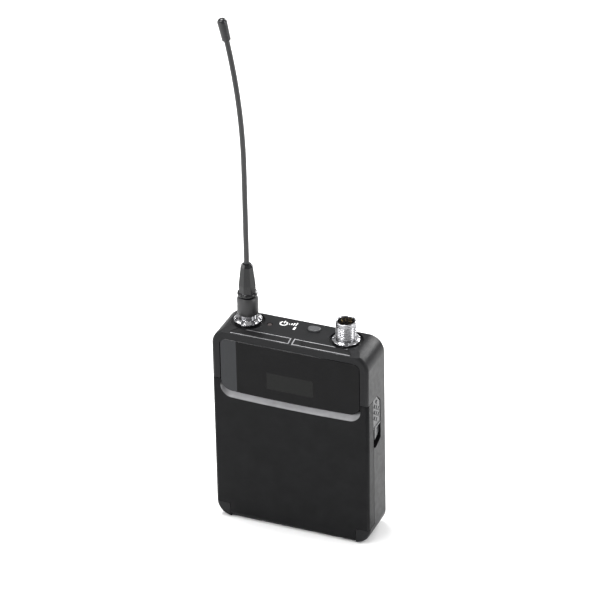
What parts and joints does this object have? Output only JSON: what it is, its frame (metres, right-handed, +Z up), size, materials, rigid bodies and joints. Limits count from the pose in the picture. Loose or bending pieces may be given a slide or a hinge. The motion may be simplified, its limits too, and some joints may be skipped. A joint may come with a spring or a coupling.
{
  "type": "wireless bodypack transmitter",
  "caption": "Pocket-sized metal bodypack radio transmitter with display window, latched battery door, whip antenna, screw-on microphone connector and sprung belt clip.",
  "frame": {"origin": "middle of the pack's flat bottom face", "axes": "+Z up through the antenna end, -Y out of the display face, +X to the right of a person facing the display"},
  "size_m": [0.0642, 0.0248, 0.2109],
  "materials": {
    "case": "satin charcoal powder paint over cast metal",
    "door": "satin charcoal paint",
    "cover": "satin charcoal paint",
    "window": "glossy smoked acrylic",
    "trim": "dark semi-gloss plastic strip",
    "chrome": "polished nickel plating",
    "steel": "turned and brushed steel",
    "clip_steel": "black coated spring steel",
    "screw": "black oxide screw",
    "catch": "moulded charcoal plastic",
    "boot": "glossy black plastic",
    "sleeve": "matte black plastic",
    "whip": "satin black rubber",
    "tip": "smooth black rubber cap",
    "insert": "black insulator",
    "gold": "gold plated contact",
    "lens": "smoked indicator lens",
    "button": "grey rubber key",
    "tray": "moulded black plastic",
    "panel": "moulded dark grey plastic",
    "key": "light grey rubber key",
    "board": "green solder mask",
    "shield": "tinned steel can",
    "lcd": "liquid crystal panel glass",
    "gasket": "foam gasket",
    "cell": "plain printed cell wrap",
    "spring": "nickel plated spring wire"
  },
  "bodies": {
    "root": {"main_case": "case", "back_cover": "cover", "case_screws": "screw", "door_hinge_pin": "steel", "catch_spring_left": "spring", "catch_spring_right": "spring", "display_window": "window", "window_gasket": "gasket", "lcd_frame": "tray", "lcd_glass": "lcd", "infrared_sensor": "insert", "shoulder_trim": "trim", "status_led": "lens", "top_board": "board", "power_switch": "insert", "antenna_jack": "steel", "antenna_nut": "chrome", "connector_shell": "steel", "connector_nut": "chrome", "connector_insert": "insert", "connector_pins": "gold", "main_pcb": "board", "radio_shield": "shield", "key_switches": "insert", "control_panel": "panel", "battery_tray": "tray", "cell_left": "cell", "cell_right": "cell", "contact_plates": "gold", "battery_spring_left": "spring", "battery_spring_right": "spring", "charging_contacts": "gold", "clip_bracket": "clip_steel", "clip_screws": "screw", "clip_pin": "steel", "clip_spring": "spring"},
    "door": {"battery_door": "door"},
    "catch_l": {"catch_left": "catch"},
    "catch_r": {"catch_right": "catch"},
    "power_button": {"power_mute_button": "button"},
    "up_key": {"key_up": "key"},
    "down_key": {"key_down": "key"},
    "set_key": {"key_set": "key"},
    "antenna": {"antenna_sleeve": "sleeve", "antenna_boot": "boot", "antenna_whip": "whip", "antenna_tip": "tip"},
    "clip": {"clip_blade": "clip_steel"}
  },
  "joints": [
    {"name": "door_hinge", "type": "hinge", "parent": "root", "child": "door", "pos_m": [0, -0.007, 0.0025], "axis": [1, 0, 0], "range_deg": [0, 89]},
    {"name": "catch_left_slide", "type": "slide", "parent": "root", "child": "catch_l", "axis": [0, 0, -1], "range_m": [0, 0.002], "stiffness_N_per_m": 250, "springref_m": -0.003, "deforming": ["catch_spring_left"]},
    {"name": "catch_right_slide", "type": "slide", "parent": "root", "child": "catch_r", "axis": [0, 0, -1], "range_m": [0, 0.002], "stiffness_N_per_m": 250, "springref_m": -0.003, "deforming": ["catch_spring_right"]},
    {"name": "power_button_press", "type": "slide", "parent": "root", "child": "power_button", "axis": [0, 0, -1], "range_m": [0, 0.0005], "stiffness_N_per_m": 1500, "springref_m": -0.00033},
    {"name": "key_up_press", "type": "slide", "parent": "root", "child": "up_key", "axis": [0, 1, 0], "range_m": [0, 0.00035], "stiffness_N_per_m": 1500, "springref_m": -0.00027},
    {"name": "key_down_press", "type": "slide", "parent": "root", "child": "down_key", "axis": [0, 1, 0], "range_m": [0, 0.00035], "stiffness_N_per_m": 1500, "springref_m": -0.00027},
    {"name": "key_set_press", "type": "slide", "parent": "root", "child": "set_key", "axis": [0, 1, 0], "range_m": [0, 0.00035], "stiffness_N_per_m": 1500, "springref_m": -0.00027},
    {"name": "antenna_turn", "type": "hinge", "parent": "root", "child": "antenna", "pos_m": [-0.021, 0.001, 0.09], "axis": [0, 0, 1], "continuous": true},
    {"name": "clip_hinge", "type": "hinge", "parent": "root", "child": "clip", "pos_m": [0, 0.0126, 0.068], "axis": [1, 0, 0], "range_deg": [0, 14], "stiffness_Nm_per_rad": 0.25, "springref_deg": -28.65}
  ]
}
